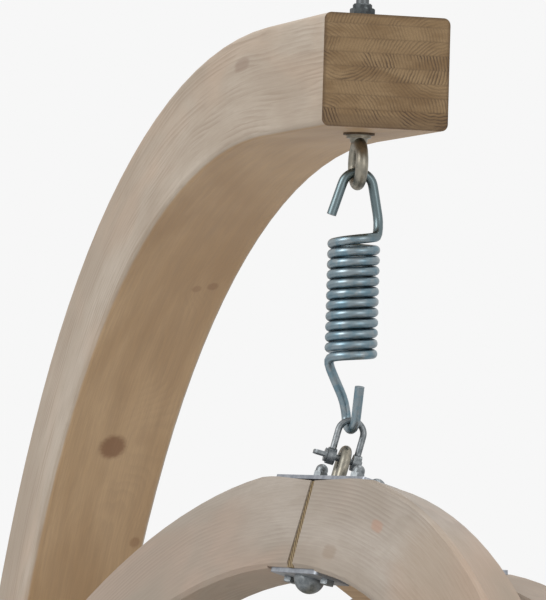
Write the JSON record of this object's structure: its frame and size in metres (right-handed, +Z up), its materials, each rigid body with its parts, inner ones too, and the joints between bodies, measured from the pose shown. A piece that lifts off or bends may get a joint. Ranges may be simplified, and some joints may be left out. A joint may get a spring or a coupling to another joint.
{
  "type": "hanging chair stand",
  "caption": "Round laminated timber hanging chair with canvas seat, hung by a tension spring and shackle from the tip of a curved laminated timber stand on a cross base",
  "frame": {"origin": "On the floor, straight below the line the chair hangs on.", "axes": "+Z up; +X along the arm towards its tip; +Y to the left of someone who looks along +X."},
  "size_m": [1.5592, 1.2, 1.9308],
  "materials": {
    "stand_timber": "clear satin varnish over laminated spruce",
    "hoop_timber": "clear satin varnish over laminated spruce",
    "block_timber": "clear satin varnish",
    "zinc_steel": "bright zinc plate",
    "spring_steel": "zinc-plated spring wire",
    "yellow_zinc": "yellow-passivated zinc plate",
    "plate_steel": "galvanised plate",
    "nylon": "plain",
    "glide_rubber": "plain",
    "packing_cork": "cork and rubber sheet",
    "strip_aluminium": "satin",
    "canvas": "woven outdoor canvas",
    "cushion_cloth": "woven outdoor canvas, filled"
  },
  "bodies": {
    "stand": {"stand_arm": "stand_timber", "keel_beam": "stand_timber", "cross_beam": "stand_timber", "foot_plate_left": "plate_steel", "foot_plate_right": "plate_steel", "foot_bolts": "zinc_steel", "foot_cap_nuts": "zinc_steel", "lap_bolt": "zinc_steel", "lap_washer": "zinc_steel", "lap_nut": "zinc_steel", "floor_glides": "glide_rubber", "centre_foot": "glide_rubber", "glide_screws": "zinc_steel", "eye_washers": "zinc_steel"},
    "eye_swivel": {"eye_bolt": "yellow_zinc", "eye_lock_nut": "zinc_steel", "lock_nut_insert": "nylon"},
    "spring": {"tension_spring": "spring_steel"},
    "shackle": {"shackle_bow": "zinc_steel"},
    "shackle_pin": {"shackle_pin": "zinc_steel"},
    "chair": {"chair_eye": "yellow_zinc", "crown_top_plate": "plate_steel", "crown_bottom_plate": "plate_steel", "crown_bolts": "zinc_steel", "crown_washers": "zinc_steel", "crown_cap_nuts": "zinc_steel", "crown_plate_screws": "zinc_steel", "crown_dome_nut": "zinc_steel", "crown_packing": "packing_cork", "front_hoop_left": "hoop_timber", "front_hoop_right": "hoop_timber", "rear_hoop_left": "hoop_timber", "rear_hoop_right": "hoop_timber", "splice_plates": "plate_steel", "splice_bolts": "zinc_steel", "splice_nuts": "zinc_steel", "crown_block": "block_timber", "crown_dowels": "block_timber", "spreader_left": "block_timber", "spreader_right": "block_timber", "spreader_screws": "zinc_steel", "seat_sling": "canvas", "back_panel": "canvas", "front_clamp_strip": "strip_aluminium", "rear_clamp_strip": "strip_aluminium", "strip_screws": "zinc_steel", "seat_cushion": "cushion_cloth", "back_cushion": "cushion_cloth"}
  },
  "joints": [
    {"name": "eye_turn", "type": "hinge", "parent": "stand", "child": "eye_swivel", "pos_m": [0, 0, 1.87], "axis": [0, 0, 1], "continuous": true},
    {"name": "spring_sway", "type": "hinge", "parent": "eye_swivel", "child": "spring", "pos_m": [0, 0, 1.7884], "axis": [0.9903, -0.1392, 0], "range_deg": [-15, 15]},
    {"name": "spring_stretch", "type": "slide", "parent": "spring", "child": "shackle", "axis": [0, 0, -1], "range_m": [0, 0.05], "stiffness_N_per_m": 16000, "springref_m": -0.024, "deforming": ["tension_spring"]},
    {"name": "chair_rock", "type": "hinge", "parent": "shackle", "child": "chair", "pos_m": [0.0009, -0.00572, 1.57841], "axis": [0.1737, 0.9495, -0.2613], "range_deg": [-12, 12]},
    {"name": "pin_unscrew", "type": "hinge", "parent": "shackle", "child": "shackle_pin", "pos_m": [0.0009, -0.00572, 1.57841], "axis": [0.1737, 0.9495, -0.2613], "continuous": true}
  ]
}
